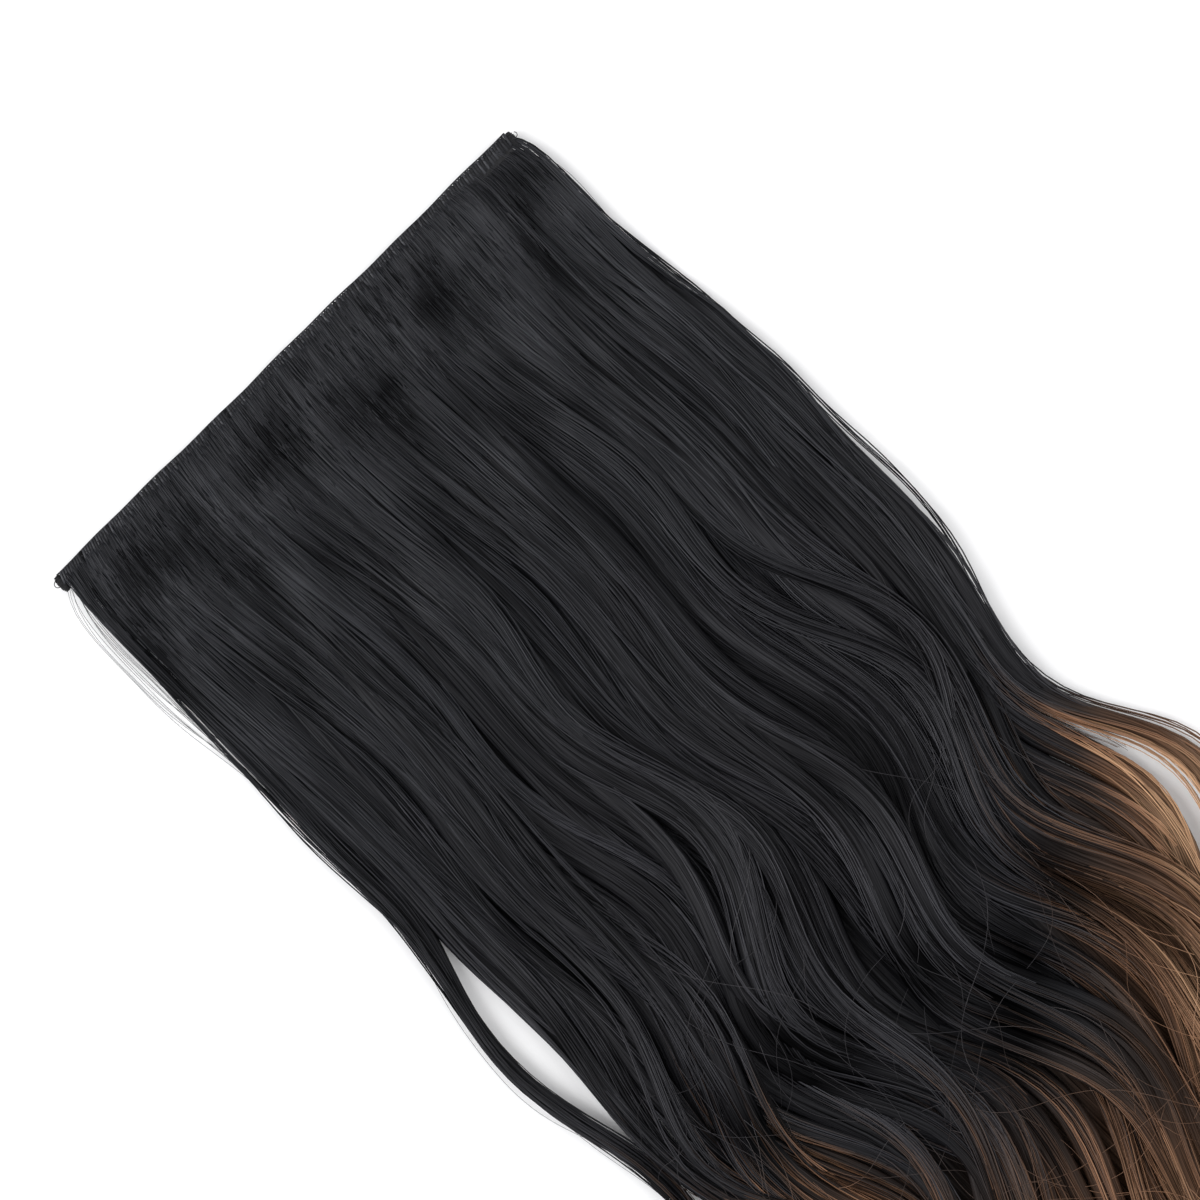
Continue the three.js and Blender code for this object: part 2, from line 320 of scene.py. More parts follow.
def lock_course(hair, lock, down, crest_shift=0.0, swing_share=1.0):
    """A lock's middle, underside, half width and half thickness at places down the hair."""
    along = down / (hair.length * lock.reach)
    turn = 2 * np.pi * (down / hair.wave_length - lock.crest - crest_shift)
    fill = ease((down - HAIR_START) / hair.fill_run)
    waving = ease((down - hair.wave_start) / hair.wave_growth)
    tapering = np.clip((along - hair.taper_start) / (1 - hair.taper_start), 0, 1)
    taper = 1 - (1 - hair.tip_width / hair.lock_width) * tapering ** 2
    thickness = lerp(hair.root_thickness, hair.lock_thickness, fill) * np.sqrt(taper)
    bow = lock.bow * np.sin(np.pi * along)
    bow = bow + lock.flare * np.sin(np.pi * np.clip(down / hair.flare_run, 0, 1)) ** 2
    across = HALF_TRACK * (lerp(lock.root, lock.tip, along) + bow)
    across = across + hair.wave_swing * lock.swing * swing_share * waving * np.cos(turn)
    low = underside(hair, down) + hair.lock_thickness * lock.lift * fill * taper
    low = low + hair.wave_rise * lock.rise * waving * (0.5 + 0.5 * np.sin(turn))
    narrow = lerp(1.0, lock.waist, ease((down - 0.14) / 0.06))
    return across, low, hair.lock_width * lock.breadth * narrow * taper / 2, thickness / 2


WISPS_PER_LOCK = 4
WISP_OVERLAP = 2.1
NARROW = 0.5  # A lock of less breadth than this is a narrow one at a flank


def make_wisps(rng):
    """Each lock's wisps, with small ways of their own."""
    rows = []
    for number, breadth in enumerate(LOCKS.breadth):
        count = max(2, round(WISPS_PER_LOCK * breadth))
        calm = 0.35 if breadth < NARROW else 1.0
        for k in range(count):
            side = 2 * (k + 0.5) / count - 1
            stray = calm == 1.0 and rng.uniform() < 0.14
            rows.append((
                number,
                side + rng.uniform(-0.10, 0.10),
                WISP_OVERLAP / count * rng.uniform(0.85, 1.25) * (0.6 if stray else 1.0),
                calm * rng.normal(0, 0.036),
                1 + calm * rng.uniform(-0.24, 0.20),
                rng.uniform(0.95, 1.0),
                calm * (rng.uniform(0.0050, 0.0085) if stray else rng.uniform(0.0014, 0.0040)),
                rng.uniform(0.17, 0.30),
                rng.uniform(0, 1),
                1.6 if stray else rng.uniform(-1, 1),
                rng.uniform(0.15, 0.25),
                rng.uniform(0, 1),
                rng.normal(0, 1),
                stray,
            ))
    return columns(
        "lock side breadth crest_shift swing_share reach drift drift_length drift_turn "
        "layer layer_length layer_turn tone stray", *rows)


def wisp_course(hair, wisp, down):
    """A wisp's middle, height of its middle, half width and half thickness."""
    across, low, half_width, half_thickness = lock_course(
        hair, rows_at(LOCKS, wisp.lock), down, wisp.crest_shift, wisp.swing_share)
    free = ease((down - 0.06) / 0.16)
    gather = lerp(0.86, 0.70, ease((down - 0.10) / 0.35))
    drift = wisp.drift * free * wave(down, wisp.drift_length, wisp.drift_turn)
    layer = 0.45 * wisp.layer + 0.55 * wave(down, wisp.layer_length, wisp.layer_turn)
    crown = 0.25 * (1 - wisp.side ** 2)
    middle = low + half_thickness * (1 + free * (0.62 * layer + crown))
    thick = 0.62 * half_thickness
    return (
        across + wisp.side * half_width * gather + drift,
        np.maximum(middle, thick),
        half_width * wisp.breadth * gather,
        thick,
    )


def pucker(across, down):
    """How far the sheet of hair near the track stands up or sinks at a place."""
    near = ease((down - 0.007) / 0.010) * (1 - ease((down - 0.055) / 0.07))
    soft = 0.00060 * np.sin(across * 175 + 1.1 + 40 * down)
    soft = soft + 0.00050 * np.sin(across * 96 - down * 120 + 2.0)
    soft = soft + 0.00034 * np.sin(across * 290 + down * 150 + 0.4)
    height = near * soft
    for wide, long, deep, at, far in zip(
            HOLLOWS.wide, HOLLOWS.long, HOLLOWS.deep, HOLLOWS.across, HOLLOWS.down):
        spot = ((across - at) / wide) ** 2 + ((down - far) / long) ** 2
        height = height - deep * np.exp(-spot)
    return height


def lean(across):
    """How far to the left the hair slants as it leaves the track, most near the left end."""
    return lerp(0.17, 0.40, ease((-across / HALF_BAND - 0.55) / 0.45))


def root_line(root, down):
    """Where the sheet of hair carries a strand from its root, before it parts into locks."""
    share = root / HALF_BAND
    inner = 1 - share ** 8
    spread = 1 - np.exp(-down / 0.0045)
    across = root + 0.0062 * spread * np.clip(share, 0, 1) ** 3
    across = across - 0.020 * lean(root) * (1 - np.exp(-down / 0.020)) * inner
    gather = 0.0006 * np.sin(61 * share + 0.7) + 0.0004 * np.sin(137 * share + 2.0)
    return across + gather * ease(down / 0.03) * inner


SHEET_THICKNESS = 0.0041


def sheet_top(hair, down):
    """Height of the sheet that the hair forms before it parts into locks."""
    swell = lerp(
        BAND_THICKNESS + 0.00035, SHEET_THICKNESS, ease((down - HAIR_START) / 0.06))
    return underside(hair, down) + swell


def brownness(across, down, shift):
    """How far the hair has turned from black to brown, earlier at the flanks."""
    start = np.interp(
        across, (-0.072, -0.056, -0.043, -0.025, 0.020, 0.036, 0.050, 0.066, 0.083, 0.097, 0.112),
        (0.281, 0.279, 0.314, 0.318, 0.304, 0.322, 0.280, 0.260, 0.250, 0.236, 0.224))
    run = np.interp(across, (-0.056, -0.040, 0.050, 0.066, 0.083, 0.097, 0.112),
                    (0.095, 0.15, 0.15, 0.115, 0.14, 0.07, 0.09))
    cooler = 0.012 * ease((down - 0.10) / 0.12)
    return np.clip((down - start - shift) / run, 0, 1) + cooler


CLUMP_STRANDS = 5


def make_strands(rng, hair, wisps, count):
    """Strands in small clumps, shared out over the wisps by their breadth."""
    lock_breadth = LOCKS.breadth[wisps.lock.astype(int)]
    share = wisps.breadth * lock_breadth
    lifted = LOCKS.lift[wisps.lock.astype(int)] > 0.5
    share = np.where(lifted, share * 1.25, share)
    share = np.where(lock_breadth < NARROW, share * 1.7, share)
    share = np.where(wisps.stray > 0, share * 2.4, share)
    clumps = count // CLUMP_STRANDS
    owner = np.sort(rng.choice(len(share), clumps, p=share / share.sum()))
    owner = np.repeat(owner, CLUMP_STRANDS)
    total = len(owner)

    def by_clump(values):
        return np.repeat(values, CLUMP_STRANDS)

    limit = np.where(lock_breadth[owner] < NARROW, 0.85, 1.3)
    side = np.clip(by_clump(rng.normal(0, 0.62, clumps)), -limit, limit)
    return SimpleNamespace(
        wisp=owner.astype(float),
        side=side + rng.normal(0, 0.05, total),
        bundle=rng.normal(0, 0.00042, total),
        bundle_up=rng.uniform(-0.5, 1, total) * 0.00035,
        wander=by_clump(rng.uniform(0.05, 0.36, clumps)),
        wander_length=by_clump(rng.uniform(0.09, 0.24, clumps)),
        wander_turn=by_clump(rng.uniform(0, 1, clumps)),
        frizz=rng.uniform(0.00005, 0.00042, total),
        frizz_length=rng.uniform(0.035, 0.075, total),
        frizz_turn=rng.uniform(0, 1, total),
        depth=by_clump(rng.beta(1.1, 2.4, clumps)),
        reach=by_clump(rng.uniform(0.86, 1.015, clumps)) * rng.uniform(0.96, 1.0, total),
        start=rng.uniform(0.0010, 0.0040, total),
        width=rng.uniform(0.72, 1.25, total),
        tone=by_clump(rng.normal(0, 0.15, clumps)) + rng.normal(0, 0.17, total),
        shift=by_clump(rng.normal(0, 0.012, clumps)) + rng.normal(0, 0.010, total),
        root=np.zeros(total),
    )


def strand_course(hair, wisps, strand, down):
    """Places of strands, across and up, down the hair."""
    wisp = rows_at(wisps, strand.wisp)
    across, middle, half_width, thick = wisp_course(hair, wisp, down)
    side = strand.side + strand.wander * wave(down, strand.wander_length, strand.wander_turn)
    arch = np.sqrt(np.clip(1 - side ** 2, 0, 1)) - 0.35 * np.clip(np.abs(side) - 1, 0, 1)
    tight = lerp(1.0, 0.55, ease((down / hair.length - 0.5) / 0.5))
    frizz = strand.frizz * wave(down, strand.frizz_length, strand.frizz_turn)
    across = across + side * half_width + strand.bundle * tight + frizz
    up = middle + thick * arch * (1.08 - 0.5 * strand.depth) + strand.bundle_up
    parted = ease((down - 0.02) / 0.10)
    across = draw_in(lerp(root_line(strand.root, down) + frizz, across, parted), down)
    sheet = sheet_top(hair, down) + 0.0002 - 0.0009 * strand.depth + 0.5 * strand.bundle_up
    sheet = sheet - 0.00035 * (1 - ease((down - strand.start) / 0.0022))
    up = lerp(sheet, up, ease((down - 0.02) / 0.08))
    up = up + pucker(across, down)
    return across, np.maximum(up, 0.5 * hair.strand_width + 0.00005)


def draw_in(across, down):
    """The same places, both flanks drawn in lower down and the left one let out at the track."""
    right = 0.0070 * bell(down, 0.186, 0.042) + 0.0016 * bell(down, 0.100, 0.016)
    right = right * ease((across - 0.085) / 0.025)
    left = 0.0022 * bell(down, 0.152, 0.026)
    left = left - 0.0016 * ease(down / 0.02) * (1 - ease((down - 0.03) / 0.10))
    return across - right + left * ease((-across - 0.076) / 0.022)


def spread_roots(hair, wisps, strands):
    """Gives the strands even roots along the track, in the order in which they lie lower down."""
    every = pick(strands, np.arange(len(strands.root)))
    across, _ = strand_course(hair, wisps, every, np.array([[0.13]]))
    order = np.argsort(across[:, 0])
    even = (np.arange(len(order)) + 0.5) / len(order) * 2 - 1
    strands.root[order] = even * (HALF_BAND + 0.0002)


# Meshes from arrays


def ride(piece, slot, *nodes):
    """Ties a finished piece to the weft's body and hides the nodes that it stands for. slot is not
    used.
    """
    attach(piece, "root")
    if nodes:
        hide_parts(*nodes)
    return piece


def mesh_piece(name, points, quads, caps, material, shade=None, uv=None, flow=None):
    """A smooth mesh from points, faces and end caps.

    shade and flow are given by point, and uv, the places on the baked palette, by corner.
    """
    mesh = bpy.data.meshes.new(name)
    corners = [quads.reshape(-1)]
    totals = [np.full(len(quads), quads.shape[1])]
    if caps is not None:
        corners.append(caps.reshape(-1))
        totals.append(np.full(len(caps), caps.shape[1]))
    corners = np.concatenate(corners).astype(np.int32)
    totals = np.concatenate(totals).astype(np.int32)
    starts = np.concatenate([[0], np.cumsum(totals)[:-1]]).astype(np.int32)
    mesh.vertices.add(len(points))
    mesh.vertices.foreach_set("co", points.astype(np.float32).ravel())
    mesh.loops.add(len(corners))
    mesh.loops.foreach_set("vertex_index", corners)
    mesh.polygons.add(len(totals))
    mesh.polygons.foreach_set("loop_start", starts)
    mesh.polygons.foreach_set("loop_total", totals)
    if shade is not None:
        layer = mesh.attributes.new("shade", "FLOAT_COLOR", "POINT")
        flat = np.ones((len(points), 4), np.float32)
        flat[:, :2] = shade
        layer.data.foreach_set("color", flat.ravel())
    if uv is not None:
        layer = mesh.uv_layers.new(name="OFBake")
        layer.data.foreach_set("uv", uv.astype(np.float32).ravel())
    if flow is not None:
        layer = mesh.attributes.new("flow", "FLOAT_VECTOR", "POINT")
        layer.data.foreach_set("vector", flow.astype(np.float32).ravel())
    mesh.update(calc_edges=True)
    mesh.shade_smooth()
    mesh.materials.append(material)
    piece = bpy.data.objects.new(name, mesh)
    bpy.context.scene.collection.objects.link(piece)
    return piece


def unit(vectors):
    """The same directions, each of length 1."""
    return vectors / np.linalg.norm(vectors, axis=-1, keepdims=True)


def tubes(name, paths, wide, high, sides, material, shade=None, streak=0.0, palette=True):
    """Closed tubes along paths (tube, station, xyz), joined in one mesh.

    wide and high are the section's half sizes. shade is (brownness, tone) by station, and streak
    is how much lighter each tube's right side is than its left. With palette, corners of one
    colour share one place on the map. Without it, points carry flow, for a texture along the tube.
    """
    count, stations, _ = paths.shape
    tangent = unit(np.gradient(paths, axis=1))
    beside = unit(np.cross(tangent, np.array([0.0, 0.0, 1.0])))
    above = np.cross(beside, tangent)
    turn = 2 * np.pi * (np.arange(sides) + 0.25 * (sides == 3)) / sides
    ring = wide[:, :, None, None] * np.cos(turn)[:, None] * beside[:, :, None, :]
    ring = ring + high[:, :, None, None] * np.sin(turn)[:, None] * above[:, :, None, :]
    points = (paths[:, :, None, :] + ring).reshape(-1, 3)
    number = np.arange(count * stations * sides).reshape(count, stations, sides)
    here, there = number, np.roll(number, -1, axis=2)
    quads = np.stack([here[:, :-1], here[:, 1:], there[:, 1:], there[:, :-1]], axis=-1)
    quads = quads.reshape(-1, 4)
    caps = np.concatenate([number[:, 0], number[:, -1, ::-1]])
    if shade is None:
        return mesh_piece(name, points, quads, caps, material)
    tone = np.clip(shade[..., 1, None] + 0.5 * streak * np.cos(turn), 0, 1)
    brown = np.repeat(shade[..., 0, None], sides, axis=2)
    flat = np.stack([brown, tone], axis=-1).reshape(-1, 2)
    if not palette:
        # Round the tube from its underside, along it, and a number of its own
        around = np.broadcast_to((turn / (2 * np.pi) + 0.25) % 1, number.shape)
        along = np.broadcast_to((EDGE_Y - paths[..., 1])[:, :, None], number.shape)
        which = np.broadcast_to(np.arange(count)[:, None, None], number.shape)
        flow = np.stack([64 * around, 34 * along, 5.3 * which], axis=-1)
        return mesh_piece(name, points, quads, caps, material, flat, flow=flow)
    # The map's first axis is the tone and its second mixes brownness and length, so that strands
    # of one colour share one place on it.
    level = 0.6 * shade[..., 0] + 0.38 * np.linspace(0, 1, stations)
    left = 0.02 + 0.95 * tone + 0.004 * np.arange(sides)
    right = np.roll(left, -1, axis=2)
    tall = np.repeat(level[:, :, None], sides, axis=2)
    around = np.stack([left[:, :-1], left[:, 1:], right[:, 1:], right[:, :-1]], axis=-1)
    along = np.stack([tall[:, :-1], tall[:, 1:], tall[:, 1:], tall[:, :-1]], axis=-1)
    uv = np.stack([around, along], axis=-1).reshape(-1, 2)
    ends = np.stack([np.concatenate([left[:, 0], left[:, -1, ::-1]]),
                     np.concatenate([tall[:, 0], tall[:, -1]])], axis=-1).reshape(-1, 2)
    return mesh_piece(name, points, quads, caps, material, flat, np.concatenate([uv, ends]))


# Materials


def node_material(name):
    """A new material, its nodes' tree and its shader."""
    material = bpy.data.materials.new(name)
    material.use_nodes = True
    tree = material.node_tree
    return material, tree, tree.nodes["Principled BSDF"]


def add_node(tree, kind, **settings):
    """A new node with its settings."""
    node = tree.nodes.new(kind)
    for key, value in settings.items():
        setattr(node, key, value)
    return node


def ranged(tree, source, low, high, start=0.0, end=1.0):
    """A value carried from the range start to end over to the range low to high."""
    node = add_node(tree, "ShaderNodeMapRange")
    node.inputs["From Min"].default_value = start
    node.inputs["From Max"].default_value = end
    node.inputs["To Min"].default_value = low
    node.inputs["To Max"].default_value = high
    tree.links.new(source, node.inputs["Value"])
    return node.outputs["Result"]


def noise(tree, where, scale, detail):
    """Soft noise over a surface."""
    node = add_node(tree, "ShaderNodeTexNoise")
    node.inputs["Scale"].default_value = scale
    node.inputs["Detail"].default_value = detail
    tree.links.new(where, node.inputs["Vector"])
    return node.outputs["Fac"]


def add_bump(tree, shader, height, strength, distance):
    """Gives the shader a fine relief."""
    node = add_node(tree, "ShaderNodeBump")
    node.inputs["Strength"].default_value = strength
    node.inputs["Distance"].default_value = distance
    tree.links.new(height, node.inputs["Height"])
    tree.links.new(node.outputs["Normal"], shader.inputs["Normal"])


def add_two_tones(tree, shader, source, colour, low, high):
    """Gives the shader two tones of a colour. low and high are (place on the ramp, brightness)."""
    ramp = add_node(tree, "ShaderNodeValToRGB")
    for element, (at, brightness) in zip(ramp.color_ramp.elements, (low, high)):
        element.position = at
        element.color = (*(brightness * c for c in colour), 1)
    tree.links.new(source, ramp.inputs["Fac"])
    tree.links.new(ramp.outputs["Color"], shader.inputs["Base Color"])


def add_tint(tree, shader, colour, strength):
    """Gives the shader a colour made darker or lighter by a strength."""
    toned = add_node(tree, "ShaderNodeVectorMath", operation="SCALE")
    tree.links.new(colour, toned.inputs[0])
    tree.links.new(strength, toned.inputs["Scale"])
    tree.links.new(toned.outputs["Vector"], shader.inputs["Base Color"])


def ombre(tree, colours):
    """The hair's colour, from black over the browns, and its tone, as the mesh's shade gives them."""
    shade = add_node(tree, "ShaderNodeAttribute", attribute_name="shade")
    parts = add_node(tree, "ShaderNodeSeparateColor")
    tree.links.new(shade.outputs["Color"], parts.inputs["Color"])
    ramp = add_node(tree, "ShaderNodeValToRGB")
    stops = ((0.0, colours.black), (0.22, colours.dark_brown), (0.55, colours.brown),
             (1.0, colours.light_brown))
    elements = ramp.color_ramp.elements
    while len(elements) < len(stops):
        elements.new(0.5)
    for element, (at, colour) in zip(elements, stops):
        element.position = at
        element.color = (*colour, 1)
    tree.links.new(parts.outputs["Red"], ramp.inputs["Fac"])
    return ramp.outputs["Color"], parts.outputs["Green"]


def hair_material(name, colours):
    """Strands: black to brown along the hair, each clump and strand with its own tone, and the painted
    shade, sheen and light that the tone also carries.
    """
    material, tree, shader = node_material(name)
    colour, tone = ombre(tree, colours)
    add_tint(tree, shader, colour, ranged(tree, tone, 0.05, 1.95))
    tree.links.new(ranged(tree, tone, 0.56, 0.36), shader.inputs["Roughness"])
    tree.links.new(ranged(tree, tone, 0.04, 0.62), shader.inputs["Specular IOR Level"])
    return material


def body_material(name, colours):
    """The mass under the strands: the same colours, made darker as painted shade, with fine streaks
    along the hair.
    """
    material, tree, shader = node_material(name)
    colour, tone = ombre(tree, colours)
    flow = add_node(tree, "ShaderNodeAttribute", attribute_name="flow")
    streaks = noise(tree, flow.outputs["Vector"], 1.0, 3.0)
    depth = add_node(tree, "ShaderNodeMath", operation="MULTIPLY")
    tree.links.new(ranged(tree, streaks, 0.15, 3.0, 0.3, 0.7), depth.inputs[0])
    tree.links.new(tone, depth.inputs[1])
    add_tint(tree, shader, colour, depth.outputs["Value"])
    add_bump(tree, shader, streaks, 0.6, 0.0003)
    shine = add_node(tree, "ShaderNodeMath", operation="MULTIPLY")
    shine.inputs[1].default_value = 0.30
    tree.links.new(depth.outputs["Value"], shine.inputs[0])
    tree.links.new(shine.outputs["Value"], shader.inputs["Specular IOR Level"])
    shader.inputs["Roughness"].default_value = 0.55
    return material


def thread_material(name, colour, pitch, roughness):
    """Matt thread or fabric with a fine twist and some lighter fibres."""
    material, tree, shader = node_material(name)
    where = add_node(tree, "ShaderNodeTexCoord").outputs["Object"]
    twist = add_node(tree, "ShaderNodeTexWave", wave_type="BANDS", bands_direction="DIAGONAL")
    twist.inputs["Scale"].default_value = 1 / pitch
    twist.inputs["Distortion"].default_value = 1.5
    twist.inputs["Detail"].default_value = 2.0
    tree.links.new(where, twist.inputs["Vector"])
    fibres = noise(tree, where, 1.4 / pitch, 4.0)
    add_two_tones(tree, shader, fibres, colour, (0.35, 0.55), (0.75, 1.9))
    add_bump(tree, shader, twist.outputs["Fac"], 0.5, 0.00012)
    shader.inputs["Roughness"].default_value = roughness
    shader.inputs["Specular IOR Level"].default_value = 0.3
    return material


def steel_material(name, colour):
    """Satin spring steel, brushed along the clip."""
    material, tree, shader = node_material(name)
    where = add_node(tree, "ShaderNodeTexCoord")
    stretch = add_node(tree, "ShaderNodeMapping")
    stretch.inputs["Scale"].default_value = (120, 6000, 6000)
    tree.links.new(where.outputs["Object"], stretch.inputs["Vector"])
    brushing = noise(tree, stretch.outputs["Vector"], 1.0, 3.0)
    add_two_tones(tree, shader, brushing, colour, (0.3, 0.78), (0.7, 1.2))
    tree.links.new(ranged(tree, brushing, 0.24, 0.46), shader.inputs["Roughness"])
    add_bump(tree, shader, brushing, 0.2, 0.00003)
    shader.inputs["Metallic"].default_value = 1.0
    return material


def set_material(mesh, material):
    """Gives a mesh one material in place of any that it has."""
    mesh.materials.clear()
    mesh.materials.append(material)


# Modelling by hand


def deselect_all():
    """Leaves no object selected."""
    bpy.ops.object.select_all(action="DESELECT")


def finish_piece(piece, name, material):
    """Names a modelled piece, sets its place in its mesh and gives it its material."""
    piece.name = piece.data.name = name
    deselect_all()
    piece.select_set(True)
    bpy.context.view_layer.objects.active = piece
    bpy.ops.object.transform_apply(location=True, rotation=True, scale=True)
    set_material(piece.data, material)
    bpy.ops.object.shade_smooth_by_angle(angle=math.radians(50))
    return piece


def mesh_arrays(piece):
    """A modelled piece's points and faces, and the piece is gone."""
    mesh = piece.data
    points = np.array([v.co for v in mesh.vertices])
    faces = np.array([list(p.vertices) for p in mesh.polygons])
    bpy.data.objects.remove(piece)
    bpy.data.meshes.remove(mesh)
    return points, faces


def select_faces(test):
    """Selects the active mesh's faces whose middle passes the test, in edit mode's face mode."""
    bpy.ops.object.mode_set(mode="OBJECT")
    for face in bpy.context.object.data.polygons:
        face.select = test(face.center, face.normal)
    bpy.ops.object.mode_set(mode="EDIT")
    bpy.ops.mesh.select_mode(type="FACE")


def model_rib(track):
    """One rib: hair folded over the stitched edge, drawn along -Y from the edge at y = 0."""
    deselect_all()
    bpy.ops.mesh.primitive_cube_add(size=1, location=(0, -track.rib_reach / 2, 0))
    rib = bpy.context.object
    rib.scale = (track.rib_width, track.rib_reach, 2 * track.rib_height)
    bpy.ops.object.transform_apply(location=True, rotation=False, scale=True)
    bpy.ops.object.mode_set(mode="EDIT")
    select_faces(lambda middle, normal: normal.y > 0.9)
    for step_out, step_down in ((0.00022, -0.00012), (0.00010, -0.00045), (0.0, -0.0011)):
        bpy.ops.mesh.extrude_region_move(
            TRANSFORM_OT_translate={"value": (0, step_out, step_down)})
    bpy.ops.mesh.select_all(action="SELECT")
    bpy.ops.mesh.bevel(offset=0.00016, segments=1, affect="EDGES")
    bpy.ops.mesh.select_all(action="SELECT")
    bpy.ops.mesh.quads_convert_to_tris()
    bpy.ops.mesh.normals_make_consistent(inside=False)
    bpy.ops.object.mode_set(mode="OBJECT")
    return mesh_arrays(rib)


def edge_wander(across):
    """How far the stitched edge strays from straight."""
    return 0.00016 * np.sin(across * 83 + 0.6) + 0.00012 * np.sin(across * 231 + 2.1)


def add_ribs(track, material):
    """Ribs side by side along the track, copied from one and each a little different."""
    rng = np.random.default_rng(11)
    points, faces = model_rib(track)
    half = HALF_BAND + 0.0012
    count = int(2 * half / track.rib_pitch)
    middles = (np.arange(count) + 0.5) / count * 2 * half - half
    long = rng.uniform(0.72, 1.12, (count, 1))
    slant = lean(middles)[:, None] + rng.normal(0, 0.05, (count, 1))
    tall = rng.uniform(0.7, 1.3, (count, 1))
    down = -points[:, 1] * np.where(points[:, 1] < 0, long, 1)
    across = middles[:, None] + points[:, 0] - slant * (down - 0.002)
    sink = 0.00016 * ease(down / track.rib_reach)
    up = BAND_HIGH.z + points[:, 2] * tall - sink
    placed = place(across, down - edge_wander(middles)[:, None], up)
    number = np.arange(count)[:, None, None] * len(points) + faces
    tone = np.where(np.arange(count) % 2, 0.38, 0.64)[:, None] + rng.normal(0, 0.12, (count, 1))
    tone = np.repeat(np.clip(tone, 0, 1), len(points), axis=1)
    shade = np.stack([np.zeros_like(tone), tone], -1).reshape(-1, 2)
    piece = mesh_piece("stitch_ribs", placed.reshape(-1, 3), number.reshape(-1, 3), None,
                       material, shade)
    return ride(piece, "stitched_track")


def add_edge_threads(track, material):
    """The cord along the very edge, and a line of lock stitch that crosses the ribs."""
    half_length = HALF_BAND + 0.0014
    across = np.linspace(-half_length, half_length, 420)
    cord = place(across, -0.00024 - edge_wander(across),
                 BAND_HIGH.z - 0.00025 + 0.00006 * np.sin(across * 900))
    half = np.full((1, len(across)), track.edge_cord_width / 2)
    ride(tubes("edge_cord", cord[None], half, half, 6, material), "binding_thread")
    turns = int(HALF_BAND / track.rib_pitch)
    across = np.linspace(-HALF_BAND, HALF_BAND, turns * 6)
    phase = np.pi * turns * across / HALF_BAND
    path = place(across, 0.0014 + 0.00035 * np.sin(phase) - edge_wander(across),
                 BAND_HIGH.z + 0.8 * track.rib_height + 0.00010 * np.cos(2 * phase))
    half = np.full((1, len(across)), 0.42 * track.thread_width)
    ride(tubes("lock_stitch", path[None], half, 0.7 * half, 5, material), "binding_thread")


def add_knot(track, side, material):
    """Thread wound over the end of the track."""
    node = f"end_binding_{side}"
    low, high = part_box(node)
    middle, size = (low + high) / 2, high - low
    deselect_all()
    bpy.ops.mesh.primitive_uv_sphere_add(segments=20, ring_count=14, radius=0.5, location=middle)
    core = bpy.context.object
    core.scale = (0.94 * size.x, 0.95 * size.y, 0.90 * size.z)
    made = [core]
    minor = 0.55 * track.thread_width
    for k in range(track.knot_turns):
        share = 2 * (k + 0.5) / track.knot_turns - 1
        bulge = max(0.45, 1 - share ** 4) ** 0.5
        bpy.ops.mesh.primitive_torus_add(
            major_segments=22, minor_segments=6, major_radius=0.5, minor_radius=0.5,
            location=(middle.x, middle.y + 0.46 * size.y * share, middle.z),
            rotation=(math.radians(90 + 7 * math.sin(2.3 * k)), 0, 0.10 * math.cos(1.7 * k)))
        turn = bpy.context.object
        wide = 0.5 * size.x * bulge - minor
        tall = 0.5 * size.z * bulge - minor
        for vertex in turn.data.vertices:
            around = math.atan2(vertex.co.y, vertex.co.x)
            out = math.hypot(vertex.co.x, vertex.co.y) - 0.5
            vertex.co.x = math.cos(around) * (wide + 2 * minor * out)
            vertex.co.y = math.sin(around) * (tall + 2 * minor * out)
            vertex.co.z *= 2 * minor
        made.append(turn)
    deselect_all()
    for piece in made:
        piece.select_set(True)
    bpy.context.view_layer.objects.active = core
    bpy.ops.object.join()
    knot = finish_piece(bpy.context.object, f"knot_{side}", material)
    return ride(knot, "binding_thread", node)


def add_thread_ends(track, material):
    """Each knot's cut thread ends, which curl over the corner."""
    share = np.linspace(0, 1, 26)[None, :]
    rows = columns(
        "sign out down turn curl length",
        (-1, 0.0004, 0.0016, 1.9, 5.2, 0.0062),
        (-1, 0.0000, 0.0034, 0.4, -3.8, 0.0050),
        (1, 0.0004, 0.0012, 2.4, -4.6, 0.0050),
        (1, 0.0001, 0.0036, 0.2, 3.0, 0.0042),
    )
    end = pick(rows, np.arange(4))
    way = end.turn + end.curl * share
    step = end.length / 25
    across = end.sign * (HALF_TRACK - 0.0012 + end.out + np.cumsum(step * np.cos(way), axis=1))
    down = end.down + np.cumsum(step * np.sin(way), axis=1)
    up = BAND_HIGH.z + 0.0002 - 0.0022 * share ** 2
    half = np.full(across.shape, 0.4 * track.thread_width)
    ride(tubes("knot_ends", place(across, down, up), half, half, 5, material), "binding_thread")


def add_clip_sewing(track, material):
    """The thread that holds each clip, drawn through its two holes up into the band."""
    passes = 3
    share = np.linspace(0, 1, 8)
    paths = []
    for name in CLIPS:
        low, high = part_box(name)
        for side in (-1, 1):
            for turn in range(passes):
                angle = 2.1 * turn + 0.4 * side
                x = (low.x + high.x) / 2 + side * HOLE_SPACING / 2
                x = x + 0.00036 * math.cos(angle + 1) + 0.0001 * np.sin(5 * share)
                y = high.y - CLIP_BAR / 2 + 0.00036 * math.sin(angle + 1) + 0.0001 * share
                z = lerp(0.0004 + 0.0002 * turn, BAND_LOW.z + 0.0003, share)
                paths.append(np.stack([x, y + 0 * share, z], axis=-1))
    paths = np.array(paths)
    half = np.full(paths.shape[:2], 0.5 * track.thread_width)
    ride(tubes("clip_sewing", paths, half, half, 6, material), "binding_thread")


# The pieces of hair


